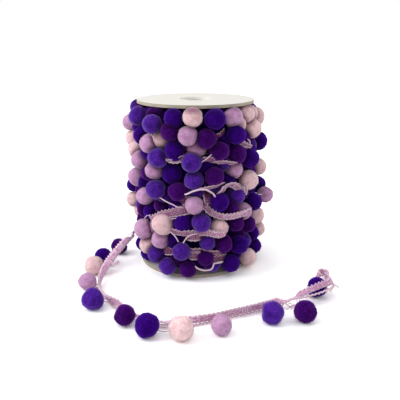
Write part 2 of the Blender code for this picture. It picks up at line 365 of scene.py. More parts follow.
def card_finish():
    material, tree, shader = new_finish("white_lined_greyboard", {"Roughness": 0.62})
    place = add_node(tree, "TexCoord").outputs["Object"]
    cloud = add_node(tree, "TexNoise", inputs={
        "Vector": place, "Scale": per_mm(3.0), "Detail": 4.0, "Roughness": 0.65})
    sheet = add_node(tree, "Mix", MIX_COLOURS, {
        SHARE: cloud.outputs["Fac"], FIRST: CARD_SHEET, SECOND: CARD_CLOUD})
    flat = add_node(tree, "VectorMath", {"operation": "MULTIPLY"}, {0: place, 1: (1.0, 1.0, 0.0)})
    from_axis = add_node(tree, "VectorMath", {"operation": "LENGTH"}, {0: flat.outputs["Vector"]})
    cut_edge = add_node(tree, "Math", {"operation": "GREATER_THAN"}, {
        0: from_axis.outputs["Value"], 1: (FLANGE_RADIUS - RIM_BAND) * MM})
    # The cut edge gets the core's colour: partly the board's own, partly painted shade under the rim.
    outside = add_node(tree, "Mix", MIX_COLOURS, {
        SHARE: cut_edge.outputs[0], FIRST: sheet.outputs[MIXED], SECOND: CARD_CORE_AND_SHADE})
    # Painted light: the bore and a thin band round it are drawn whiter, to lift the shade in the hole.
    bore_light_mask = add_node(tree, "Math", {"operation": "LESS_THAN"}, {
        0: from_axis.outputs["Value"], 1: (BORE_RADIUS + BORE_LIGHT_BAND) * MM})
    colour = add_node(tree, "Mix", MIX_COLOURS, {
        SHARE: bore_light_mask.outputs[0], FIRST: outside.outputs[MIXED], SECOND: CARD_BORE_PAINTED_LIGHT})
    fibres = add_node(tree, "TexNoise", inputs={"Vector": place, "Scale": per_mm(0.4), "Detail": 2.0})
    bump = add_node(tree, "Bump", inputs={
        "Strength": 0.25, "Distance": 0.05 * MM, "Height": fibres.outputs["Fac"]})
    set_inputs(shader, {"Base Color": colour.outputs[MIXED], "Normal": bump.outputs["Normal"]})
    return material


white_card = card_finish()
for node in ("flange_bottom", "core_tube", "flange_top"):
    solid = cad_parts[node]
    solid.data.materials.clear()
    solid.data.materials.append(white_card)
print("Card finish on the reel")

# %% [markdown]
# ## Pompom yarn
#
# A pompom is a tuft of acrylic yarn tied round its middle and sheared to a ball. Its surface
# is made of cut fibre ends: it has no gloss and it scatters a soft light at its rim. It is
# painted a little lighter where ends stand up, as painted light, and darker in the partings
# between tufts, as painted shade. Acrylic is dyed evenly, so each yarn has one colour, with
# small shifts from ball to ball.
#
# The cut ends are far finer than a picture can show, so they are drawn as a fine noise of
# most of a millimetre, over the partings at about two and a half.

# %% Five yarns of sheared acrylic
YARN_COLOURS = {             # letter: (name, body, parting: painted shade, tip: painted light, rim)
    "A": ("aubergine", "320254", "1C0034", "50167C", "A850D8"),
    "I": ("indigo", "2A0064", "180044", "420E90", "8448E8"),
    "C": ("cream", "E7C3C8", "D0A2A6", "F8E4E6", "FFF4F2"),
    "L": ("lilac", "BE90B8", "A07098", "D8B4D6", "F8E8F8"),
    "V": ("violet", "441686", "280662", "6438B4", "B89CF0"),
}
FIBRE_SIZE, PARTING_SIZE = 0.8, 2.4      # mm

def yarn_finish(name, body, parting_shade, tip_light, rim):
    material, tree, shader = new_finish("sheared_acrylic_" + name, {
        "Roughness": 0.95, "Specular IOR Level": 0.04, "Sheen Weight": 0.8,
        "Sheen Roughness": 0.43, "Sheen Tint": rim})
    place = add_node(tree, "TexCoord").outputs["Object"]
    fibres = add_node(tree, "TexNoise", inputs={
        "Vector": place, "Scale": per_mm(FIBRE_SIZE), "Detail": 2.0, "Roughness": 0.6})
    partings = add_node(tree, "TexNoise", inputs={
        "Vector": place, "Scale": per_mm(PARTING_SIZE), "Detail": 2.0, "Roughness": 0.5})
    # Painted light on the standing fibre ends, and painted shade in the partings between tufts.
    ends = add_node(tree, "MapRange", inputs={
        "Value": fibres.outputs["Fac"], "From Min": 0.48, "From Max": 0.72, "To Max": 0.6})
    lower = add_node(tree, "MapRange", inputs={
        "Value": partings.outputs["Fac"], "From Min": 0.52, "From Max": 0.3, "To Max": 0.7})
    lit = add_node(tree, "Mix", MIX_COLOURS, {SHARE: ends.outputs["Result"], FIRST: body, SECOND: tip_light})
    colour = add_node(tree, "Mix", MIX_COLOURS, {
        SHARE: lower.outputs["Result"], FIRST: lit.outputs[MIXED], SECOND: parting_shade})
    bump = add_node(tree, "Bump", inputs={
        "Strength": 0.5, "Distance": 0.2 * MM, "Height": fibres.outputs["Fac"]})
    set_inputs(shader, {"Base Color": in_the_gaps(tree, colour.outputs[MIXED]),
                        "Normal": bump.outputs["Normal"]})
    return material


yarns = {letter: yarn_finish(*facts) for letter, facts in YARN_COLOURS.items()}
print("Yarns:", ", ".join(material.name for material in yarns.values()))

# %% [markdown]
# ## Braid, cord and thread
#
# The braid is plaited from mauve polyester filament, with crosswise ribs and a row of small
# loops along its edges. Filament has a soft silky gloss, so it is less rough than the yarn. Its
# ribs are painted as light and dark bars, the dark ones painted shade between the ribs, and the
# loops, where nothing lies behind the filament, look paler than the middle. The braid is made
# in two finishes: loose on the tail, and pulled tight on the roll, where the painted shade
# between its ribs is darker, for the dark yarn behind it. The edge cord and the threads are
# spun cotton, nearly white with a breath of pink.

# %% Mauve braid
RIB_PITCH = 1.1              # mm from rib to rib
BRAID_TOP, BRAID_STRAY = "E2A2CA", "FAE8F6"
STREAKS = (0.5, 1.5, 1.0)    # filament streaks to the mm, along and across
BRAID_LOOPS = "F8E4EE"
TAIL_RIB_SHADE, ROLL_RIB_SHADE = "AC6C9C", "843E70"       # painted shade between the ribs, on the tail and on the roll
CHAIN_PITCH = 1.35           # mm between the lengthwise chains of stitches
LOOPS_FROM, LOOPS_TO = 1.45, 2.0     # mm from the braid's middle, where its loops begin and end

def wave_along(tree, distance, pitch):
    """A wave between -1 and 1 that comes back once in each pitch."""
    turns = add_node(tree, "Math", {"operation": "MULTIPLY"}, {0: distance, 1: math.tau / pitch})
    wave = add_node(tree, "Math", {"operation": "COSINE"}, {0: turns.outputs[0]})
    return wave.outputs[0]


def ribs_and_chains(tree, along, across, between):
    """The colour of the ribs, with painted shade between them and the same darker colour along the seams
    between the lengthwise chains.
    """
    ribs = add_node(tree, "MapRange", inputs={
        "Value": wave_along(tree, along, RIB_PITCH), "From Min": -1.0, "From Max": 0.4})
    bars = add_node(tree, "Mix", MIX_COLOURS, {
        SHARE: ribs.outputs["Result"], FIRST: between, SECOND: BRAID_TOP})
    seams = add_node(tree, "MapRange", inputs={
        "Value": wave_along(tree, across, CHAIN_PITCH), "From Min": -0.4, "From Max": -1.0,
        "To Max": 0.6})
    return add_node(tree, "Mix", MIX_COLOURS, {
        SHARE: seams.outputs["Result"], FIRST: bars.outputs[MIXED],
        SECOND: between}).outputs[MIXED]


def braid_finish(name, between):
    material, tree, shader = new_finish("ribbed_polyester_braid_" + name, {
        "Roughness": 0.6, "Specular IOR Level": 0.35, "Sheen Weight": 0.15,
        "Sheen Roughness": 0.4, "Sheen Tint": BRAID_STRAY})
    uv = add_node(tree, "UVMap", {"uv_map": "braid_mm"}).outputs["UV"]
    parts = add_node(tree, "SeparateXYZ", inputs={"Vector": uv})
    pattern = ribs_and_chains(tree, parts.outputs["X"], parts.outputs["Y"], between)
    drawn_out = add_node(tree, "VectorMath", {"operation": "MULTIPLY"}, {0: uv, 1: STREAKS})
    filament = add_node(tree, "TexNoise", inputs={
        "Vector": drawn_out.outputs[0], "Scale": 1.0, "Detail": 3.0})
    strays = add_node(tree, "MapRange", inputs={
        "Value": filament.outputs["Fac"], "From Min": 0.48, "From Max": 0.62, "To Max": 0.8})
    streaked = add_node(tree, "Mix", MIX_COLOURS, {
        SHARE: strays.outputs["Result"], FIRST: pattern, SECOND: BRAID_STRAY})
    from_middle = add_node(tree, "Math", {"operation": "ABSOLUTE"}, {0: parts.outputs["Y"]})
    loops = add_node(tree, "MapRange", inputs={
        "Value": from_middle.outputs[0], "From Min": LOOPS_FROM, "From Max": LOOPS_TO,
        "To Max": 0.75})
    colour = add_node(tree, "Mix", MIX_COLOURS, {
        SHARE: loops.outputs["Result"], FIRST: streaked.outputs[MIXED], SECOND: BRAID_LOOPS})
    bump = add_node(tree, "Bump", inputs={
        "Strength": 0.5, "Distance": 0.1 * MM, "Height": filament.outputs["Fac"]})
    set_inputs(shader, {"Base Color": in_the_gaps(tree, colour.outputs[MIXED]),
                        "Normal": bump.outputs["Normal"]})
    return material


loose_braid = braid_finish("loose", TAIL_RIB_SHADE)
# On the roll the painted shade between the ribs is darker.
roll_braid = braid_finish("on_roll_darker_rib_shade", ROLL_RIB_SHADE)
print("Braids:", loose_braid.name, "and", roll_braid.name)

# %% Pale cord and thread
CORD_LIGHT, CORD_SHADE = "EBD5E0", "C8A2B8"

def cord_finish():
    material, tree, shader = new_finish("spun_cotton_cord", {
        "Roughness": 0.8, "Specular IOR Level": 0.2, "Sheen Weight": 0.2,
        "Sheen Roughness": 0.5, "Sheen Tint": CORD_LIGHT})
    place = add_node(tree, "TexCoord").outputs["Object"]
    spin = add_node(tree, "TexNoise", inputs={"Vector": place, "Scale": per_mm(0.8), "Detail": 2.0})
    colour = add_node(tree, "Mix", MIX_COLOURS, {
        SHARE: spin.outputs["Fac"], FIRST: CORD_SHADE, SECOND: CORD_LIGHT})
    set_inputs(shader, {"Base Color": colour.outputs[MIXED]})
    return material


pale_cord = cord_finish()
print("Cord:", pale_cord.name)

# %% [markdown]
# ## Making braid
#
# A flat tape could be a thin box, but then it couldn't carry ribs or turn with its course.
# Instead a grid from Blender's own operator is laid along the course: one column of points
# every half rib, raised and lowered in turn, and the two outer rows pushed out in scallops for
# the loops along the edges. A Solidify modifier then gives it its thickness. The grid's own
# length and width are kept as its UV map in millimetres, for the ribs of the finish.

# %% Ribbed braid along a course
RIB_HEIGHT = 0.09            # mm up and down
LOOP_PITCH = 2.0             # mm from one edge loop to the next
LOOP_DEPTH, SEWN_DEPTH = 0.9, 0.3        # mm, of the free edge and of the edge with the cord
BRAID_ROWS = 4
OUTER_ROWS = 0.49            # share of the width from its middle, beyond which a row is an outer one
BRAID_FOOT = BRAID_RISE - BRAID_WIDTH * 0.5      # the braid's lower edge from the tape's middle

def braid_edge(course, share):
    """How far a share of the braid's width stands from the tape's middle, along a course."""
    return BRAID_FOOT + course.lift + share * BRAID_WIDTH * course.share


def lay_braid(bm, uv_layer, shade_layer, course):
    """Add one length of braid along a course whose points are half a rib apart.

    The grid is made one unit wide and long, so that a point's place in it is a share.
    """
    steps = len(course.points) - 1
    made = bmesh.ops.create_grid(bm, x_segments=steps, y_segments=BRAID_ROWS, size=0.5)
    spots = {}
    for vert in made["verts"]:
        step = round((vert.co.x + 0.5) * steps)
        share = vert.co.y
        reached = course.reached[step]
        rise = braid_edge(course, share + 0.5)[step]
        if abs(share) > OUTER_ROWS:
            depth = (LOOP_DEPTH if share > 0 else -SEWN_DEPTH) * course.loops[step]
            rise += depth * (abs(math.sin(math.pi * (reached / LOOP_PITCH + share))) - 0.5)
        rib = RIB_HEIGHT * (1 if step % 2 else -1)
        vert.co = course.points[step] + course.up[step] * rise + course.face[step] * rib
        vert[shade_layer] = course.shade[step]
        spots[vert] = (reached, share * BRAID_WIDTH)
    for face in {face for vert in made["verts"] for face in vert.link_faces}:
        for loop in face.loops:
            loop[uv_layer].uv = spots[loop.vert]


def braid_piece(name, courses):
    """One object from lengths of braid."""
    bm = bmesh.new()
    uv_layer = bm.loops.layers.uv.new("braid_mm")
    shade_layer = bm.verts.layers.float.new("shade")
    for course in courses:
        lay_braid(bm, uv_layer, shade_layer, course)
    piece = piece_from_bmesh(name, bm)
    thickness = piece.modifiers.new("thickness", "SOLIDIFY")
    thickness.thickness = BRAID_THICKNESS * MM
    thickness.offset = 0.0
    return piece


print("Braid of", BRAID_ROWS, "rows, ready to lay")

# %% [markdown]
# ## Making cord
#
# The edge cord is two plies of cotton twisted together, and the twist shows as a fine rope
# pattern. Each ply is a curve that winds round the cord's middle line, with a round bevel for
# its thickness. The thread of the braid's edge loops is made in the same way. Any other
# thread, and a loop of cord that has slipped out, is small enough to be one curve.

# %% Twisted cord and plain thread as curves
TWIST_PITCH = 3.0            # mm of cord for one turn of its plies
PLY = EDGE_CORD * 0.55       # diameter of each ply
SEWN_WAVE = 0.2              # how far the stitches pull the edge cord up and down
LOOP_THREAD, LOOP_WAVE = 0.35, 0.5       # diameter of the loops' thread, and its wave
WOUND_LOOP_PLY, TAIL_LOOP_PLY = LOOP_THREAD * 0.7, LOOP_THREAD * 0.6

def add_spline(curve, points):
    """Add one line of points, in millimetres, to a curve object's data."""
    spline = curve.splines.new("POLY")
    spline.points.add(len(points) - 1)
    flat = np.column_stack([points * MM, np.ones(len(points))])
    spline.points.foreach_set("co", flat.ravel())


def round_curve(name, diameter, sides=6):
    """An empty curve whose lines are round cords of 4, 6 or 8 sides."""
    curve = bpy.data.curves.new(name, "CURVE")
    curve.dimensions = "3D"
    curve.bevel_depth = diameter * 0.5 * MM
    curve.bevel_resolution = (sides - 4) // 2
    curve.use_fill_caps = True
    return curve


def add_twisted(curve, course, rise, diameter=EDGE_CORD, wave=SEWN_WAVE):
    """Two plies wound round the line that runs above a course by its rise.

    A ply's middle stays a quarter of the cord's diameter from that line.
    """
    sewn = rise + wave * np.cos(course.reached / LOOP_PITCH * math.tau)
    middle = course.points + course.up * sewn[:, None]
    turn = course.reached / TWIST_PITCH * math.tau
    for ply in (0.0, math.pi):
        swing = (course.up * np.cos(turn + ply)[:, None]
                 + course.face * np.sin(turn + ply)[:, None])
        add_spline(curve, middle + swing * diameter * 0.25)


def add_loops(curve, course):
    """The pale thread of the loops along a braid's free edge."""
    rise = braid_edge(course, 1.0) + LOOP_WAVE * 0.5
    add_twisted(curve, course, rise, diameter=LOOP_THREAD, wave=LOOP_WAVE)


def cotton_piece(curve, node):
    """The piece of pale cotton that a curve makes, standing for part of a node."""
    return ride_on_reel(new_object(curve.name, curve), pale_cord, node)


print(f"Cord of two {PLY:.2f} mm plies, ready to lay")

# %% [markdown]
# ## Making pompoms
#
# A pompom starts as an icosphere, whose points are spread evenly with no poles to show. Two
# scales of noise move its points in and out, because shears never cut a perfect ball. Where it
# presses on a neighbour, on the card or on the table, it flattens: its points are held back
# from the plane between the two, and the hold comes on softly, so that the crease between two
# balls is round. The tail's pompoms are seen closest, so the same hold cuts a few small flats
# on them, as the shears do. Last, short pointed tufts are stamped on it at random faces, for
# the fibre ends that break up its outline.

# %% Sheared yarn balls
SHEAR_WAVES = ((1.3, 0.08), (3.4, 0.035))       # (scale of the noise, share of the radius)
SEED_SHIFTS = (7.31, 3.17, 1.93)         # how far a seed moves a ball through the noise
SOFTNESS = 0.35              # mm over which a pompom gives way at a flattened spot
FLATS_AT, FLAT_SOFTNESS = (0.8, 0.93), 0.2      # shares of the radius, and mm
FUZZ = 0.5                   # mm that the tufts stand out of the ball
FUZZ_ROOM = 0.6              # share of the fuzz by which the ball itself is smaller
TUFT_WIDTH, TUFT_LENGTH = 0.14, 1.0
TUFT_SPLAY = 0.6             # how far tufts lean from straight out

def ball_template(subdivisions):
    bm = bmesh.new()
    bmesh.ops.create_icosphere(bm, subdivisions=subdivisions, radius=1.0)
    return template(bm)


def tuft_template():
    bm = bmesh.new()
    bmesh.ops.create_cone(bm, cap_ends=True, segments=3, radius1=TUFT_WIDTH * 0.5,
                          radius2=0.0, depth=TUFT_LENGTH)
    bmesh.ops.translate(bm, vec=(0, 0, FUZZ - TUFT_LENGTH * 0.5), verts=bm.verts)
    return template(bm)


HIDDEN_BALL, WOUND_BALL, TAIL_BALL = ball_template(2), ball_template(3), ball_template(4)
TUFT = tuft_template()

def sheared(shape, radius, seed):
    """A ball's points about its own middle, cut unevenly, with room left for its fuzz."""
    shift = Vector([seed * step for step in SEED_SHIFTS])
    swell = [1.0 + sum(depth * noise.noise(Vector(point) * waves + shift)
                       for waves, depth in SHEAR_WAVES) for point in shape[0]]
    return shape[0] * ((radius - FUZZ * FUZZ_ROOM) * np.array(swell))[:, None]


def hold_back(points, normal, limit, softness=SOFTNESS):
    """Keep points below a plane at a distance along its normal, giving way softly."""
    reach = points @ normal
    held = limit - softness * np.logaddexp(0.0, (limit - reach) / softness)
    return points + (held - reach)[:, None] * normal


def cut_flats(points, radius, count, draw):
    """Flats that the shears leave on a ball."""
    for normal in unit(draw.normal(size=(count, 3))):
        points = hold_back(points, normal, radius * draw.uniform(*FLATS_AT), FLAT_SOFTNESS)
    return points


def tufts_on(points, faces, shades, count, draw):
    """Tufts at random faces of a ball, each with the shade of its root."""
    picked = faces[draw.integers(0, len(faces), count)]
    chosen = points[picked]
    share = draw.dirichlet((1.0, 1.0, 1.0), count)
    roots = np.einsum("nij,ni->nj", chosen, share)
    out = unit(np.cross(chosen[:, 1] - chosen[:, 0], chosen[:, 2] - chosen[:, 0]))
    out = unit(out + draw.uniform(-TUFT_SPLAY, TUFT_SPLAY, out.shape))
    side = unit(np.cross(out, draw.uniform(-1.0, 1.0, out.shape)))
    places = np.stack([side, np.cross(out, side), out, roots], axis=2)
    return (*stamp(TUFT, places), np.repeat(shades[picked[:, 0]], len(TUFT[0])))


print(f"Ball templates of {len(WOUND_BALL[1])} and {len(TAIL_BALL[1])} faces")

# %% [markdown]
# ## Where the pompoms lie on the roll
#
# The trim is wound in turns from the top flange down, and on each turn the pompoms sit where
# there was room for them: some sunk in, some standing out. The front is listed one by one, a
# group for each turn. The back follows one rule with small strays, and there, as on the tail,
# the yarns follow each other in a fixed order.

# %% Places on the roll
YARN_ORDER = "AICLV"         # by the letters of the yarn colours
IN, MID, OUT, FAR = 28.8, 31.0, 32.8, 34.4      # mm from the axis to a pompom's middle

# Each entry is (angle in degrees, height in mm, mm from the axis, yarn), and some end in their
# own radius. The angle grows to the right.
FRONT_TURNS = (
    ((-104, 81.5, 31, "V"), (-63, 80, 31.5, "V"), (-41, 81, IN, "A"), (-19, 81, MID, "I"),
     (-2, 82, OUT, "C"), (16, 81, OUT, "I"), (35, 81, MID, "L"), (58, 81, IN, "C"),
     (86, 78, MID, "C", 5.2)),
    ((-99, 74, FAR, "L"), (-38, 78, OUT, "V"), (-22, 75, MID, "A"), (-6, 73.5, OUT, "L", 5),
     (9, 72, OUT, "A"), (36, 73, OUT, "I"), (64, 74, MID, "C", 5.3), (98, 64, FAR, "I")),
    ((-97, 66, OUT, "C"), (-57, 71, 30.5, "I"), (-46, 68, MID, "L"), (-18, 66, MID, "I"),
     (20, 66, OUT, "A"), (40, 63, MID, "A"), (55, 60, OUT, "I")),
    ((-75, 62, MID, "C"), (-33, 62, OUT, "V"), (-64, 58, MID, "L"), (-3, 61, OUT, "V"),
     (40, 55, IN, "L"), (97, 50, FAR, "C")),
    ((-83, 46.5, MID, "L", 5.4), (-103, 39, FAR, "I"), (-40, 55, MID, "L"), (-23, 54, IN, "I"),
     (-1, 52, MID, "V"), (16, 54, OUT, "A"), (54, 49, OUT, "C", 5.2)),
    ((97, 40, FAR, "I"), (-36, 46, OUT, "V"), (-16, 46, MID, "A"), (-55, 40, MID, "L"),
     (-100, 31, FAR, "C"), (40, 42, MID, "V"), (21, 41, OUT, "I"), (64, 36, OUT, "I")),
    ((-1, 40, OUT, "L", 4.8), (33, 37, MID, "A"), (-60, 32, 29.5, "A"), (51.5, 32.6, MID, "L", 4.9),
     (87, 24, OUT, "C"), (-97, 26, 29.8, "C"), (-49.5, 32.4, 29.8, "I", 4.3)),
    ((-29.5, 28.8, OUT, "C", 5.8), (-53.5, 22.8, OUT, "L", 5.6), (-11, 30, MID, "I"), (5, 31, OUT, "V"),
     (22, 27, MID, "C"), (40, 28, MID, "A"), (60, 24, MID, "A"), (93, 15, FAR, "C")),
    ((75, 16, MID, "I"), (-34, 19.6, MID, "L", 5.2), (11.4, 19.5, 30.6, "V", 4.3), (27, 18, MID, "A"),
     (43, 16, OUT, "I"), (76, 8.5, 32.4, "I"), (-80, 9, IN, "I"), (-52, 14, MID, "C")),
    ((-39, 11, MID, "V"), (-12, 15.5, OUT, "V"), (9.5, 11.4, MID, "A", 4.5), (35, 6.4, 31.8, "I"),
     (60, 5.6, 32.2, "C"), (-26, 6.2, 32, "V"), (-7, 5.4, 31, "A", 4.7)),
)

BACK_TURNS, BACK_TOP, BACK_BOTTOM = 10, 77.5, 7.0
BACK_FROM, BACK_TO, BACK_STEP = 108.0, 244.0, 25.0
BACK_STRAY_DEGREES, BACK_STRAY_HEIGHT = 3.0, 2.0
BACK_LAYERS = (OUT, MID, OUT, OUT, MID)
# Two pompoms stand out at the sides, each on its thread.
LOOSE_POMPOMS = ((87, 36, 37.8, "L", 4.7), (-119, 72, 41.6, "L", 4.6))
# Past an angle, nothing lies within so many mm of the height at which the tail leaves.
WINDOW_ANGLE, WINDOW_HEIGHT, WINDOW_REACH = 225.0, 16.5, 8.5

def clear_of_tail(angle, height):
    return angle < WINDOW_ANGLE or abs(height - WINDOW_HEIGHT) > WINDOW_REACH


def back_places():
    """The same pattern carried on round the back, clear of where the tail leaves."""
    shift = random.Random(7)
    for turn in range(BACK_TURNS):
        height = BACK_TOP + (BACK_BOTTOM - BACK_TOP) * turn / (BACK_TURNS - 1)
        angle = BACK_FROM + (turn % 2) * BACK_STEP * 0.5
        place = turn
        while angle <= BACK_TO:
            layer = BACK_LAYERS[place % len(BACK_LAYERS)]
            at_angle = angle + shift.uniform(-1, 1) * BACK_STRAY_DEGREES
            at_height = height + shift.uniform(-1, 1) * BACK_STRAY_HEIGHT
            if clear_of_tail(at_angle, at_height):
                yield at_angle, at_height, layer, YARN_ORDER[(place + turn) % len(YARN_ORDER)]
            angle += BACK_STEP
            place += 1


outer_places = [place for turn in FRONT_TURNS for place in turn] + list(back_places())
outer_places += LOOSE_POMPOMS
print(len(outer_places), "pompoms in the outer layer")

# %% [markdown]
# ## Pompoms in the gaps
#
# Through the gaps of the outer layer the layers beneath can be seen. A few of those pompoms
# are listed. The rest fill whatever gaps are left: places in even rows are tried from the
# top down, and one is taken where no pompom is near.

# %% Places in the gaps
DEEP = 28.0                  # mm from the axis to the middle of a pompom in a gap
SEEN_IN_GAPS = ((-36, 70, DEEP, "C"), (34, 50, DEEP, "I"), (-32, 42, DEEP, "V"),
                (-35, 37, DEEP, "A"), (-21, 19, DEEP, "I"), (1, 66.6, 29, "L"),
                (50, 19.5, DEEP, "A"), (72, 80.2, DEEP, "C"), (45, 76.7, DEEP, "C"),
                (72, 62.7, DEEP, "I"), (-45, 24.3, DEEP, "L"))
GAP_ROWS, GAP_STEP = 22, 9.0     # rows of tries from top to bottom, degrees between tries
ROOM_ROUND = 7.0             # mm that must be free round a filling pompom's middle
FILL_YARNS = "AIVIA"

def place_point(place):
    return on_roll(*(np.array([value], float) for value in place[:3]))[0]


def gap_places():
    """Fill the gaps that are left in the outer layer."""
    taken = [place_point(place) for place in (*outer_places, *SEEN_IN_GAPS)]
    low, high = WOUND_LOW + POMPOM_RADIUS, WOUND_HIGH - POMPOM_RADIUS
    found = list(SEEN_IN_GAPS)
    for row in range(GAP_ROWS):
        height = high + (low - high) * row / (GAP_ROWS - 1)
        for angle in np.arange(-180.0, 180.0, GAP_STEP):
            point = place_point((angle, height, DEEP))
            if min(np.linalg.norm(point - other) for other in taken) > ROOM_ROUND:
                taken.append(point)
                found.append((angle, height, DEEP, FILL_YARNS[len(found) % len(FILL_YARNS)]))
    return found


inner_places = gap_places()
print(len(inner_places), "pompoms in the gaps")

# %% [markdown]
# ## The pompoms of the roll
#
# Each pompom flattens against its neighbours, whatever their yarn, so all are shaped together
# and then sorted: one object for each yarn, because an object here carries one finish. Each
# point's shade is the least of three: light fails in the creases where pompoms press on each
# other, close under the upper flange, and towards the axis.

# %% Flatten and shade the wound pompoms
WOUND_TUFTS, HIDDEN_TUFTS = 650, 200
SIZE, SIZE_STRAY = 1.02, 0.04            # of the usual radius, and how much pompoms differ
LEAST_HELD = 0.15            # share of the radius that no neighbour presses away
SHADE_STRAY = 0.08           # how much they differ in lightness
WOUND_SHADE, TAIL_SHADE = 0.95, 1.15       # painted shade on the roll's pompoms and painted light on the tail's
CREASE = 1.8                 # mm from a pressed spot over which the light comes back
CREASE_SHADE, PALE_CREASE = 0.1, 0.3       # pale fibre passes some light on into the crease
PALE_YARNS = "CL"
UNDER_CARD, CARD_SHADE = 2.2, 0.2          # the same below the upper flange
DEEP_FROM, DEEP_TO, DEEP_SHADE = 27.0, 31.0, 0.35     # and towards the axis, in mm from it

def wound_balls():
    """(middle, radius, yarn) for each pompom of the roll."""
    draw = np.random.default_rng(11)
    balls = []
    for place in (*outer_places, *inner_places):
        radius = POMPOM_RADIUS * (SIZE + draw.uniform(-SIZE_STRAY, SIZE_STRAY))
        own_radius = place[4] if len(place) > 4 else radius
        balls.append((place_point(place), own_radius, place[3]))
    return balls


def flatten_on_neighbours(points, middle, radius, balls):
    """Hold a ball's points back from each ball that it presses on.

    Also gives how far each point is from the nearest such spot.
    """
    room = np.full(len(points), radius)
    for other, other_radius, _ in balls:
        run = other - middle
        gap = np.linalg.norm(run)
        if 0.0 < gap < radius + other_radius:
            limit = (gap * gap + radius * radius - other_radius * other_radius) / (2 * gap)
            points = hold_back(points, run / gap, max(limit, radius * LEAST_HELD))
            room = np.minimum(room, limit - points @ (run / gap))
    return points, room


def shape_wound_pompoms():
    """Points and faces for every pompom of the roll, sorted by yarn."""
    draw = np.random.default_rng(5)
    balls = wound_balls()
    sorted_parts = {letter: [] for letter in YARN_ORDER}
    for seed, (middle, radius, yarn) in enumerate(balls):
        outer = seed < len(outer_places)
        shape, tufts = (WOUND_BALL, WOUND_TUFTS) if outer else (HIDDEN_BALL, HIDDEN_TUFTS)
        points = sheared(shape, radius, seed)
        points, room = flatten_on_neighbours(points, middle, radius, balls)
        held = hold_back(points, UP, WOUND_HIGH - middle[2])
        held = hold_back(held, -UP, middle[2] - WOUND_LOW)
        reach = np.hypot(*(points + middle)[:, :2].T)
        points = np.where((reach > FLANGE_RADIUS + GAP)[:, None], points, held) + middle
        points[:, 2] = np.maximum(points[:, 2], GAP)
        in_crease = PALE_CREASE if yarn in PALE_YARNS else CREASE_SHADE
        light = np.minimum.reduce([
            np.interp(room, (0.0, CREASE), (in_crease, 1.0)),
            np.interp(points[:, 2], (WOUND_HIGH - UNDER_CARD, WOUND_HIGH), (1.0, CARD_SHADE)),
            np.interp(reach, (DEEP_FROM, DEEP_TO), (DEEP_SHADE, 1.0))])
        # Painted shade: every pompom of the roll is drawn a little darker, with a random shift from ball
        # to ball.
        light *= WOUND_SHADE + draw.uniform(-SHADE_STRAY, SHADE_STRAY)
        sorted_parts[yarn].append((points, shape[1], light))
        sorted_parts[yarn].append(tufts_on(points, shape[1], light, tufts, draw))
    return sorted_parts


print("Tufts on each pompom of the outer layer:", WOUND_TUFTS)

# %% Make one object for each yarn
for letter, parts in shape_wound_pompoms().items():
    name = YARN_COLOURS[letter][0]
    piece = piece_from_parts(f"wound_pompoms_{name}", parts)
    ride_on_reel(piece, yarns[letter], "wound_trim")
    print(piece.name, len(piece.data.polygons), "faces")

# %% [markdown]
# ## What lies beneath them
#
# Beneath the layers that show, the trim goes on down to the core, and between the pompoms it
# is seen only as darkness. One turned ring stands for it: a profile is spun round the axis,
# which gives a closed ring with no seam. It takes a dark yarn, in the shade of the depths.

# %% Turn the inner winding
INNER_REACH, INNER_CORNER, INNER_STEPS = 26.0, 3.0, 48       # mm, mm, steps round the axis

def inner_winding():
    core_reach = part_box("core_tube")[1].x / MM + GAP
    bevelled = INNER_REACH - INNER_CORNER
    profile = ((core_reach, WOUND_LOW), (bevelled, WOUND_LOW),
               (INNER_REACH, WOUND_LOW + INNER_CORNER), (INNER_REACH, WOUND_HIGH - INNER_CORNER),
               (bevelled, WOUND_HIGH), (core_reach, WOUND_HIGH))
    bm = bmesh.new()
    corners = [bm.verts.new((reach, 0.0, height)) for reach, height in profile]
    edges = [bm.edges.new(pair) for pair in zip(corners, corners[1:] + corners[:1])]
    bmesh.ops.spin(bm, geom=[*corners, *edges], cent=(0, 0, 0), axis=(0, 0, 1), dvec=(0, 0, 0),
                   angle=math.tau, steps=INNER_STEPS, use_merge=True)
    return piece_from_bmesh("inner_winding", bm)


inner = inner_winding()
shade = inner.data.attributes.new("shade", "FLOAT", "POINT")
shade.data.foreach_set("value", np.full(len(inner.data.vertices), DEEP_SHADE))
ride_on_reel(inner, yarns["I"], "wound_trim")
print(inner.name, len(inner.data.polygons), "faces")
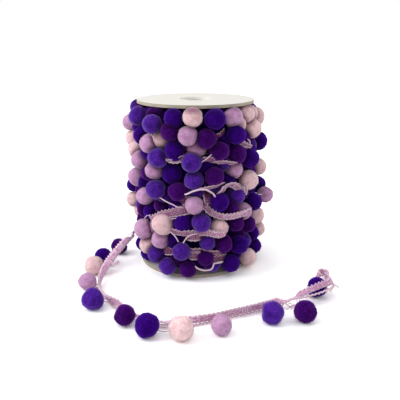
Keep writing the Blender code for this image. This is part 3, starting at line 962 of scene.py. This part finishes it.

# %% [markdown]
# ## The braid of the roll
#
# The wound braid runs round the reel in a spiral, but most of it is under the pompoms. What
# shows is a set of short lengths, each rising out of the gaps, crossing over, and going in
# again. On the front each is listed. Most lean, because the pompoms pull the braid's
# lower edge down and its upper edge tips out. At the sides and the back, lengths of the same
# kind follow one rule.

# %% Lengths and bare edges on the front
# Each length starts with its share of the braid's full width, or with two where it tapers. Its
# rows are (angle in degrees, height in mm, reach in mm, lean in degrees).
FRONT_LENGTHS = (
    (0.6, ((17, 72.6, 30.4, 25), (21, 73, 31, 30), (25, 74, 30.4, 10))),
    (0.4, ((42, 69.6, 32.6, 40), (47, 68.1, 33.4, 44), (53, 66.6, 33.2, 44), (60, 65, 32, 40))),
    (0.3, ((-24, 63.4, 31.6, 20), (-19.5, 62.4, 32.2, 20), (-14.5, 63, 32.4, 20),
           (-10, 64.4, 31.8, 20))),
    (1.0, ((-7, 66.4, 29.6, 0), (-0.6, 67, 30, 0), (8, 66.5, 29.6, 0))),
    (0.8, ((8, 61.6, 31.8, 30), (13, 62, 32.4, 35), (18, 61.8, 32.8, 50))),
    (0.45, ((17, 61, 33.2, 50), (23, 61.2, 33.6, 50), (30, 60.2, 33.4, 54), (36, 59.4, 33, 60),
            (41, 58.8, 32.4, 60))),
    (0.6, ((3, 48, 33.2, 55), (9, 48.8, 33.8, 55), (16, 49.6, 34.2, 55), (22, 50.2, 33.6, 55))),
    ((1.0, 0.35), ((22, 46.6, 34, 35), (24, 48.6, 34.4, 45), (28, 49.6, 34.6, 50),
                   (32.4, 49.2, 34.4, 44), (38, 47.4, 34.2, 34), (43.3, 44.8, 33.8, 25),
                   (46.5, 42.4, 32.8, 10))),
    (0.6, ((11.6, 43, 31, 0), (11.8, 39.4, 31.4, 0))),
    ((0.4, 1.0), ((8.7, 40.2, 32.6, 10), (11.4, 38, 32.8, 15), (15.3, 36.1, 33.6, 22),
                  (20.1, 34.7, 34.4, 28), (25, 34.1, 35.2, 28), (30.4, 33.7, 35.4, 26),
                  (36.1, 33.8, 35.7, 26), (41.9, 33.9, 36, 26), (45.5, 33.8, 36.2, 24),
                  (48, 33.4, 35.4, 20))),
    ((0.35, 1.1), ((-42, 30.4, 33.4, 10), (-36, 32.2, 33.4, 10), (-29.7, 34, 33, 8),
                   (-20.1, 35.4, 32.6, 8), (-14.5, 36.2, 32.6, 6), (-9.4, 36.9, 32.2, 4),
                   (-5, 37.4, 31.2, 0))),
    (0.9, ((-16.6, 41.4, 30.4, 10), (-11.2, 41.6, 31.2, 10), (-6.6, 41.4, 30.8, 10))),
    (0.75, ((-22.2, 26, 32.6, 30), (-16.2, 25.9, 33.3, 32), (-10.1, 25.9, 33.7, 34),
            (-4.3, 25.9, 33.3, 34), (1.4, 26, 33, 30), (4, 26.1, 33, 25), (9.4, 26.3, 33.8, 25),
            (13.8, 26.1, 35.2, 25), (18.4, 25.5, 36.1, 25), (22.7, 25.6, 35.9, 25),
            (26, 26.2, 34.4, 25))),
    (0.8, ((-6, 23.4, 32, 0), (-0.3, 23.6, 32.4, 0), (4, 23.6, 31.8, 0))),
    (0.5, ((9.6, 15.4, 31.4, 30), (14.7, 15.1, 32.2, 30), (21.2, 14.5, 32.2, 30),
           (29.6, 13.2, 31, 30))),
    (0.7, ((13.5, 11.1, 31.2, 10), (19, 10.8, 31.7, 10), (27, 10.3, 31, 10))),
    (0.3, ((-4.7, 16.8, 31.6, 20), (0.6, 17.1, 32, 20), (5.1, 16.9, 31.6, 20))),
    (0.8, ((-5.6, 13.1, 31.4, 10), (-1.2, 13, 31.8, 10), (3.4, 12.7, 31, 10))),
    (0.7, ((-30.7, 13.8, 31, 0), (-25, 14.4, 31.4, 0), (-20.4, 14.6, 31, 0))),
)
# Each of these rows is (angle, height, reach), and only the sewn edge of the braid shows there.
FRONT_EDGES = (
    ((-24.2, 62.2, 33.6), (-20.2, 62.1, 34.2), (-15.9, 62.8, 34.4), (-12, 63.8, 34.2),
     (-9.7, 64.4, 33.8)),
    ((-24.6, 62.4, 33.4), (-22.9, 61.3, 34), (-18.7, 60.7, 34.4), (-14.5, 60.8, 34.4),
     (-9.6, 61.5, 33.6)),
    ((-21.2, 32.8, 34), (-18.3, 32.9, 34.4), (-15.4, 33.8, 34.2)),
    ((-47.5, 27.4, 34), (-47, 30, 34.8), (-43.5, 32, 35.2), (-39.6, 32.8, 34.6)),
    ((42.8, 67.1, 33), (48.6, 66.1, 33.6), (56, 65, 33)),
)
print(len(FRONT_LENGTHS), "lengths and", len(FRONT_EDGES), "bare edges on the front")

# %% Lengths at the sides and the back
MM_PER_DEGREE = math.radians(33.0)   # round the roll, at its pompoms
# At its ends a length goes on for so many mm, in to so many mm from the axis, and down by a
# share of its way in.
TUCK_RUN, TUCK_REACH, TUCK_DIP = 3.2, 27.5, 0.3

def tucked(rows):
    """A length's rows with one more at each end, which takes it in between the pompoms."""
    ends = []
    for end, before in ((rows[0], rows[1]), (rows[-1], rows[-2])):
        turn, rise = end[0] - before[0], end[1] - before[1]
        share = TUCK_RUN / math.hypot(turn * MM_PER_DEGREE, rise)
        dip = (end[2] - TUCK_REACH) * TUCK_DIP
        ends.append((end[0] + turn * share, end[1] + rise * share - dip, TUCK_REACH, end[3]))
    return (ends[0], *rows, ends[1])


OTHER_TURNS, OTHER_TOP, OTHER_DROP = 6, 75.0, 12.5       # mm: the first turn, and from turn to turn
OTHER_FROM, OTHER_TO = 96, 262           # degrees
OTHER_STARTS, OTHER_SWEEPS, OTHER_SPACES = (0, 16), (18, 34), (12, 26)       # ranges in degrees
OTHER_LEANS, OTHER_REACHES = (5, 50), (32.6, 34.2)       # ranges in degrees and in mm
OTHER_STRAY, MIDDLE_STRAY = 2.5, 1.5     # mm up or down, of a length and of its middle
MIDDLE_BULGE, END_DROP = 1.0, 1.0        # mm outwards, and mm down

def other_lengths():
    """Lengths for the sides and the back, clear of where the tail leaves."""
    draw = random.Random(3)
    for turn in range(OTHER_TURNS):
        angle = OTHER_FROM + draw.uniform(*OTHER_STARTS)
        while angle < OTHER_TO:
            sweep = draw.uniform(*OTHER_SWEEPS)
            height = OTHER_TOP - OTHER_DROP * turn + draw.uniform(-OTHER_STRAY, OTHER_STRAY)
            lean = draw.uniform(*OTHER_LEANS)
            reach = draw.uniform(*OTHER_REACHES)
            if clear_of_tail(angle + sweep, height) and angle + sweep < OTHER_TO:
                middle = height + draw.uniform(-MIDDLE_STRAY, MIDDLE_STRAY)
                yield ((angle, height, reach, lean),
                       (angle + sweep * 0.5, middle, reach + MIDDLE_BULGE, lean),
                       (angle + sweep, height - END_DROP, reach, lean))
            angle += sweep + draw.uniform(*OTHER_SPACES)


others = list(other_lengths())
print(len(others), "lengths at the sides and the back")

# %% Lay the wound braid
HALF_RIB = RIB_PITCH * 0.5
# The last of these rows is where the free tail begins, and there the braid is drawn in.
TAIL_LEAVES = ((-136, 18, 28, 0), (-122, 16.8, 30.5, 0), (-108, 15.8, 31.8, 0),
               (-97, 14.9, 33.3, -3), (-87.6, 13.6, 35.1, -6))
TAIL_LEAVES_SHARES = (1.0, 0.12)

wound_courses = [wound_course(tucked(rows), HALF_RIB, share) for share, rows in FRONT_LENGTHS]
wound_courses += [wound_course(tucked(rows), HALF_RIB) for rows in others]
wound_courses.append(wound_course(TAIL_LEAVES, HALF_RIB, TAIL_LEAVES_SHARES))
wound_braid = braid_piece("wound_braid", wound_courses)
ride_on_reel(wound_braid, roll_braid, "wound_trim")
print(len(wound_courses), "lengths of braid on the roll")

# %% Lay its edge cord
BARE_EDGE = LOOP_THREAD * 1.4        # diameter, where only the sewn edge shows

wound_cord = round_curve("wound_edge_cord", PLY, sides=4)
wound_edges = round_curve("wound_edge_threads", WOUND_LOOP_PLY, sides=4)
for course in wound_courses:
    add_twisted(wound_cord, course, -CORD_DROP)
    add_loops(wound_edges, course)
for rows in FRONT_EDGES:
    edge = wound_course([(*row, 0.0) for row in rows], HALF_RIB)
    add_twisted(wound_edges, edge, 0.0, diameter=BARE_EDGE)
for curve in (wound_cord, wound_edges):
    cotton_piece(curve, "wound_trim")
    print(curve.name, "in", len(curve.splines), "lines")

# %% [markdown]
# ## Threads on the roll
#
# Here and there a thread shows between a pompom and its cord, or a loop of cord has slipped
# over a neighbour. They lie where the eye finds them, so their points are listed, and a
# smooth line is drawn through each set.

# %% Threads that show on the roll
THREAD_STEPS = 6             # from each point set by hand to the next
WOUND_THREAD, SLIPPED_CORD = THREAD * 1.1, EDGE_CORD * 0.85      # diameters
# Each thread's rows are (angle in degrees, height in mm, reach in mm).
WOUND_THREADS = (
    ((-32, 43, 34), (-28, 42.8, 35), (-23, 42, 36), (-17, 40.8, 36.2), (-13.7, 39.6, 35.4),
     (-10, 38.6, 33)),
    ((5, 61.3, 33.6), (8.6, 62.9, 34.4), (11.3, 64.4, 34.6), (14.4, 65.4, 33.6)),
    ((-21, 26.2, 34.6), (-18, 25.5, 35.4), (-15, 24.3, 36.4), (-12.7, 22.4, 37)),
    ((1.4, 26.1, 34.8), (-3.4, 25.6, 35.4), (-6.4, 24.5, 36), (-9.2, 22, 37)),
    ((41, 47.6, 35.5), (42, 46.3, 36), (42.5, 44.2, 36.2)),
    ((45.3, 48.3, 35.5), (44.7, 46.5, 36), (44, 44.6, 36.4), (42.7, 43.3, 36.6)),
    ((48.7, 70.1, 33.5), (50.4, 68.8, 34.2), (51.3, 67.2, 34)),
    ((51.2, 84.4, 33), (50.4, 83.8, 34), (50.3, 82, 33.6)),
    ((-40.6, 73.5, 33), (-36.9, 72.6, 33.8), (-35.3, 71.3, 34), (-35.7, 69.8, 33.4)),
    ((66, 40, 33), (76, 38, 35), (86, 36.5, 37)),
    ((-104, 73.5, 32), (-110, 74, 36.5), (-118, 72.5, 40)),
)
# These are loops of the edge cord itself, so they are thicker.
WOUND_CORDS = (
    ((-8, 45.8, 34.4), (-6.2, 46.5, 36), (-1.7, 48, 36.5), (3.4, 49, 37), (7, 49, 37),
     (9.9, 48.2, 37.2), (13, 46.7, 37), (15, 45, 36)),
    ((0, 7.8, 32.6), (1.4, 7.3, 33.6), (4.8, 6.7, 34.6), (8.9, 6.4, 35), (13.1, 6.8, 35),
     (14.8, 8.3, 34.8), (15.7, 9.4, 34.4), (18.6, 9.4, 34), (22.6, 9.2, 33.6), (25, 9, 32.6)),
)

def threads_piece(name, lines, node, diameter=THREAD):
    """One object from lines of points in millimetres."""
    curve = round_curve(name, diameter)
    for line in lines:
        add_spline(curve, line)
    print(len(lines), "lines in", name)
    return cotton_piece(curve, node)


for name, table, diameter in (("wound_threads", WOUND_THREADS, WOUND_THREAD),
                              ("wound_cord_loops", WOUND_CORDS, SLIPPED_CORD)):
    lines = [on_roll(*smooth_rows(rows, THREAD_STEPS).T) for rows in table]
    threads_piece(name, lines, "wound_trim", diameter)

# %% [markdown]
# ## The free tail
#
# The tail is a real length of trim lying on the table: braid, edge cord and twelve pompoms,
# ending in a small knot. Its course is the one that its solids follow, but on the left its
# face is turned up more, so that it can be seen. In places it is gathered, and it narrows to a
# few threads.

# %% The tail's braid and edge cord
# Each row is (x, y, z, lean): the tape's middle line in mm, and its lean from upright in
# degrees, its top edge towards the outer side.
TAIL_ROUTE = (
    (-35.1, -1.5, 13.6, 34), (-37.8, -6.5, 11.8, 42), (-41.2, -12.5, 9.2, 48),
    (-44.0, -18.5, 7.0, 50), (-46.2, -25.0, 5.2, 44), (-47.3, -32.0, 3.9, 28),
    (-47.2, -39.0, 3.1, 12), (-45.9, -45.5, 2.8, 4), (-43.0, -51.2, 2.8, 12),
    (-38.8, -56.4, 2.8, -4), (-33.4, -61.2, 2.2, -60), (-27.2, -66.0, 1.6, -92),
    (-20.2, -70.6, 1.8, -100), (-12.4, -73.8, 2.0, -98), (-4.0, -74.8, 2.5, -50),
    (5.0, -73.2, 2.7, 0), (14.6, -69.4, 2.7, 2), (23.5, -65.8, 2.7, 0),
    (31.0, -62.6, 2.8, -12), (37.5, -59.6, 3.0, -60), (43.0, -57.6, 3.8, -98),
    (48.0, -56.9, 5.0, -80), (53.0, -56.4, 6.6, -62), (58.0, -54.9, 7.7, -54),
    (62.2, -51.4, 7.7, -48), (64.4, -46.4, 6.8, -36), (64.9, -41.2, 5.2, -14),
    (64.6, -35.9, 3.5, 0),
)
tail = free_course(TAIL_ROUTE, HALF_RIB)
TAIL_GATHERS = (             # (distance along in mm, lift in mm, share, loops, shade: painted light over one, painted shade under)
    (0, 0, 0.12, 0.4, 1.3), (3, 0, 0.15, 0.4, 1.4), (5.5, 0, 0.6, 1, 1.5), (9, 0, 0.68, 1, 1.5),
    (30, 0, 0.7, 1, 1.4), (40, 0, 0.55, 0.8, 1.2), (50, 0, 0.45, 0.5, 1), (58, 0, 0.45, 0.5, 1),
    (66, 0, 0.72, 0.5, 0.8), (74, 0, 0.35, 0.3, 1), (78, 0, 0.2, 0.2, 1.5),
    (92.5, 0, 0.1, 0.2, 1.5), (95.5, 0, 0.5, 0.3, 0.9), (103, 0.35, 0.72, 0.3, 0.75),
    (139, 0.35, 0.75, 0.3, 0.8), (147, 0.2, 0.8, 0.4, 0.9), (150, 0, 0.15, 0.2, 1),
    (154, 0, 0.15, 0.2, 1), (157, 0.3, 0.85, 0.6, 0.7), (162.7, 1.3, 0.65, 1, 0.65),
    (168, 1.5, 0.6, 1, 0.6), (173.5, 0.9, 0.65, 1, 0.7), (179, 0.3, 0.75, 1, 0.85),
    (190, 0, 0.9, 1, 0.85),
)
distances, *gathers = zip(*TAIL_GATHERS)
gathers = [np.interp(tail.reached, distances, each) for each in gathers]
tail.lift, tail.share, tail.loops, tail.shade = gathers
tail_braid = braid_piece("tail_braid", [tail])
ride_on_reel(tail_braid, loose_braid, "tail_tape")

tail_cord_curve = round_curve("tail_edge_cord", PLY)
add_twisted(tail_cord_curve, tail, -CORD_DROP)
tail_loops_curve = round_curve("tail_edge_loops", TAIL_LOOP_PLY, sides=4)
add_loops(tail_loops_curve, tail)
tail_loops = cotton_piece(tail_loops_curve, "tail_tape")
tail_cord = cotton_piece(tail_cord_curve, "tail_tape")

# %% [markdown]
# ## The pompoms of the tail
#
# These twelve lie one by one on the table and are seen closest, so their balls are finer and
# carry more tufts. Each rests on a small flat spot. Two threads in a V, a little slack, join
# it to the edge cord, and the V is narrower on the inner side of the tail's bend.

# %% Places and threads of the tail's pompoms
# Each entry is (x, y, radius) in mm, from the winding outwards.
TAIL_POMPOMS = (
    (-43.2, 0.9, 4.7), (-49.6, -13.6, 4.8), (-52.4, -25.0, 5.0), (-52.2, -42.2, 4.5),
    (-46.0, -60.2, 5.2), (-30.0, -73.4, 4.7), (-19.6, -82.2, 5.2), (-5.8, -84.6, 5.35),
    (10.8, -80.6, 4.5), (32.8, -72.0, 5.1), (47.0, -71.0, 5.0), (57.2, -49.0, 4.9),
)
SETTLE = 0.6                 # mm across, by which a pompom on the table flattens
TAIL_TUFTS, TUFTS_ABOVE = 2400, 0.02     # their number, and mm that they keep above the table
SHEAR_FLATS, UNCUT = 7, 1.03             # flats on a ball, and its size before they are cut
FIRST_SHAPE, FIRST_DRAW = 200, 40        # seeds for the first pompom, counting up from there
THREAD_SPREAD, INNER_SPREAD = 2.6, 0.9   # mm along the cord from a V's middle to its leg
THREAD_SAG, SAG_STEPS = 0.3, 5

def tail_threads(middle):
    """The two threads of a pompom's V, from the edge cord into the ball."""
    nearest = np.argmin(np.linalg.norm(tail.points - middle, axis=1))
    root, along = tail.points[nearest], tail.along[nearest]
    face, up = tail.face[nearest], tail.up[nearest]
    outer_side = face @ (middle - root) > 0
    cord = root - up * CORD_DROP
    reach = along * (THREAD_SPREAD if outer_side else INNER_SPREAD)
    inside = middle + (cord - middle) * 0.5
    lines = []
    for foot in (cord - reach, cord + reach):
        sag = (foot + inside) * 0.5 - UP * THREAD_SAG
        lines.append(smooth_rows((foot, sag, inside), SAG_STEPS))
    return lines


print(len(TAIL_POMPOMS), "pompoms for the tail")

# %% Make the tail's pompoms
tail_pieces = [tail_cord, tail_loops]
thread_lines = []
for number, (x, y, radius) in enumerate(TAIL_POMPOMS):
    letter = YARN_ORDER[number % len(YARN_ORDER)]
    yarn_name = YARN_COLOURS[letter][0]
    draw = np.random.default_rng(FIRST_DRAW + number)
    middle = np.array((x, y, radius - SETTLE * 0.5))
    points = sheared(TAIL_BALL, radius * UNCUT, FIRST_SHAPE + number)
    points = cut_flats(points, radius, SHEAR_FLATS, draw)
    points = hold_back(points, -UP, middle[2]) + middle
    # Painted light: the tail's pompoms are drawn lighter, with a random shift from ball to ball.
    shades = np.full(len(points), TAIL_SHADE + draw.uniform(-SHADE_STRAY, SHADE_STRAY))
    tufts = tufts_on(points, TAIL_BALL[1], shades, TAIL_TUFTS, draw)
    tufts[0][:, 2] = np.maximum(tufts[0][:, 2], TUFTS_ABOVE)
    pompom = piece_from_parts(f"pompom_{number + 1:02d}_{yarn_name}",
                              [(points, TAIL_BALL[1], shades), tufts])
    ride_on_reel(pompom, yarns[letter], f"tail_pompom_{number + 1:02d}")
    tail_pieces.append(pompom)
    thread_lines += tail_threads(middle)
tail_pieces.append(threads_piece("tail_threads", thread_lines, "tail_tape"))
print(len(tail_pieces), "pieces on the tail")

# %% [markdown]
# ## Loose threads of the tail
#
# Handling has pulled a few threads out of the braid: loops of cord that hang below its lower
# edge, a small tangle, and single stitches that stand off its face.

# %% Loops, tangle and stitches
PULLED_THREAD, PULLED_CORD = THREAD * 0.9, EDGE_CORD * 0.7       # diameters
# Each line's rows are (x, y, z) in mm.
PULLED_THREADS = (
    ((-34.0, -1.9, 15.0), (-35.8, -3.8, 14.0), (-37.3, -5.0, 13.2)),
    ((-42.1, -52.9, 3.6), (-40.6, -54.8, 3.2), (-38.9, -57.1, 3.2)),
    ((-15.8, -80.0, 1.4), (-13.0, -80.4, 0.9), (-9.8, -80.9, 1.6)),
    ((38.6, -60.6, 3.4), (39.5, -62.0, 4.0), (40.6, -63.5, 3.6), (42.0, -62.8, 4.2),
     (43.0, -63.6, 3.4), (41.2, -65.1, 3.0), (39.8, -66.1, 2.6)),
    ((39.9, -60.4, 3.6), (40.1, -63.6, 4.4), (41.7, -64.8, 3.6), (44.1, -63.0, 3.6), (42.0, -66.0, 2.8)),
    ((20.7, -67.8, 4.2), (20.6, -68.2, 2.6), (20.8, -68.0, 0.9)),
    ((21.8, -67.3, 4.0), (21.9, -67.8, 2.6), (21.7, -67.6, 0.9)),
    ((22.8, -66.9, 4.2), (22.7, -67.4, 2.6), (22.9, -67.1, 0.9)),
)
PULLED_CORDS = (
    ((50.9, -51.5, 3.2), (51.6, -50.6, 2.0), (53.7, -51.2, 0.8), (56.3, -50.8, 0.8),
     (59.9, -47.8, 1.4), (61.7, -46.2, 3.2)),
    ((-44.8, -20.6, 6.4), (-43.4, -23.4, 5.6), (-41.6, -24.0, 5.4), (-39.9, -22.6, 6.2)),
    ((-44.4, -21.2, 5.9), (-43.0, -24.0, 5.1), (-41.2, -24.5, 4.9), (-39.5, -22.9, 5.7)),
    ((-17.6, -74.8, 1.5), (-13.6, -75.9, 1.3), (-10.0, -76.2, 1.6)),
    ((-17.6, -76.0, 1.1), (-13.2, -77.0, 0.9), (-10.0, -77.2, 1.2)),
)
for name, table, diameter in (("pulled_threads", PULLED_THREADS, PULLED_THREAD),
                              ("pulled_cords", PULLED_CORDS, PULLED_CORD)):
    lines = [smooth_rows(rows, THREAD_STEPS) for rows in table]
    tail_pieces.append(threads_piece(name, lines, "tail_tape", diameter))

# %% [markdown]
# ## The knot
#
# The braid ends in a small bunch: it stands on its edge, turns back in a tight hook, and its
# last threads fray out over the table.

# %% Hooked end and frayed threads
# Each row is (x, y, z, lean) in mm and degrees, from the end of the tail onwards.
KNOT_ROUTE = (
    (64.7, -36.3, 3.3, 0), (66.2, -34.4, 3.0, 0), (66.6, -32.4, 2.9, -4), (65.4, -30.8, 2.9, -8),
    (63.3, -30.3, 2.9, -8), (61.8, -31.2, 2.8, -14), (61.2, -32.9, 2.5, -30),
    (61.5, -34.4, 2.2, -50),
)
FRAYS = (
    ((66.0, -36.8, 3.4), (65.4, -39.1, 2.6), (67.5, -39.0, 1.4), (67.4, -41.1, 0.8),
     (64.9, -45.0, 0.5)),
    ((67.5, -39.0, 1.4), (68.9, -39.4, 0.8), (70.1, -40.9, 0.5)),
    ((62.2, -33.8, 4.4), (61.0, -34.8, 3.0), (61.6, -36.2, 1.2)),
    ((64.0, -31.4, 4.2), (65.6, -32.6, 3.4), (63.6, -33.4, 2.8), (64.8, -34.2, 1.8)),
)
FRAY_STEPS = 8
knot = braid_piece("knot_of_braid", [free_course(KNOT_ROUTE, HALF_RIB)])
ride_on_reel(knot, loose_braid, "tail_knot")
fray_lines = [smooth_rows(rows, FRAY_STEPS) for rows in FRAYS]
frays = threads_piece("frayed_threads", fray_lines, "tail_knot", PULLED_THREAD)
tail_pieces += [knot, frays]

# %% [markdown]
# ## Table and light
#
# The roll stands on a plain white sweep in a tent of white cloth. Most of the light comes
# through the tent's top, sides and back, and least from the front, where the camera stands:
# that is why the pompoms are lit along their upper and outer sides. A large soft lamp at the
# upper left adds to it. Goods for sale are pictured with the whites lifted until the sweep is
# plain white. The table does that here: the camera sees it brighter than the trim does, so
# that its shadows stay small and it doesn't light the pompoms from below too strongly.
# Colours are shown straight, without a film curve, so that white stays white.

# %% Table
TABLE_SIDE = 8.0             # metres
TABLE_LIFT = 1.27            # how much brighter the camera sees the table
TABLE_BOUNCE = "F0EEEC"      # the table as the trim sees it

bm = bmesh.new()
bmesh.ops.create_grid(bm, x_segments=8, y_segments=8, size=TABLE_SIDE * 0.5)
table_mesh = bpy.data.meshes.new("table")
bm.to_mesh(table_mesh)
bm.free()
table = new_object("table", table_mesh)
table_finish, table_tree, table_shader = new_finish("matt_white_sweep", {
    "Roughness": 1.0, "Specular IOR Level": 0.0})
seen = add_node(table_tree, "LightPath").outputs["Is Camera Ray"]
table_colour = add_node(table_tree, "Mix", MIX_COLOURS, {
    SHARE: seen, FIRST: TABLE_BOUNCE, SECOND: (TABLE_LIFT, TABLE_LIFT, TABLE_LIFT, 1.0)})
set_inputs(table_shader, {"Base Color": table_colour.outputs[MIXED]})
table_mesh.materials.append(table_finish)
print("Table", TABLE_SIDE, "m across")

# %% Tent of light
SKY_FRONT, SKY_SIDES, SKY_TOP = 0.48, 1.0, 0.28      # strengths, the top's added to the others

sky = bpy.data.worlds.new("white_tent")
sky.use_nodes = True
sky_tree = sky.node_tree
way = add_node(sky_tree, "TexCoord").outputs["Generated"]
way_parts = add_node(sky_tree, "SeparateXYZ", inputs={"Vector": way})
round_about = add_node(sky_tree, "MapRange", inputs={
    "Value": way_parts.outputs["Y"], "From Min": -1.0, "From Max": 0.2,
    "To Min": SKY_FRONT, "To Max": SKY_SIDES})
above = add_node(sky_tree, "MapRange", inputs={
    "Value": way_parts.outputs["Z"], "From Min": 0.2, "From Max": 1.0, "To Max": SKY_TOP})
tent = add_node(sky_tree, "Math", {"operation": "ADD"}, {
    0: round_about.outputs["Result"], 1: above.outputs["Result"]})
backdrop = add_node(sky_tree, "Math", {"operation": "MAXIMUM"}, {
    0: tent.outputs[0],
    1: add_node(sky_tree, "LightPath").outputs["Is Camera Ray"]})
set_inputs(sky_tree.nodes["Background"], {"Color": WHITE, "Strength": backdrop.outputs[0]})
scene.world = sky
print("Tent lit")

# %% Soft lamp, and colours shown straight
LAMP_POWER = 3.4             # watts
LAMP_SIDE = 0.5              # metres
LAMP_PLACE = (-0.62, -0.15, 0.5)     # metres from the middle of the reel's foot

lamp_data = bpy.data.lights.new("softbox", "AREA")
lamp_data.size = LAMP_SIDE
lamp_data.energy = LAMP_POWER
lamp = new_object("softbox", lamp_data)
lamp.location = LAMP_PLACE
lamp.rotation_euler = (-Vector(LAMP_PLACE)).to_track_quat("-Z", "Y").to_euler()

scene.view_settings.view_transform = "Standard"
scene.view_settings.look = "None"
print("Lamp of", LAMP_POWER, "W set")
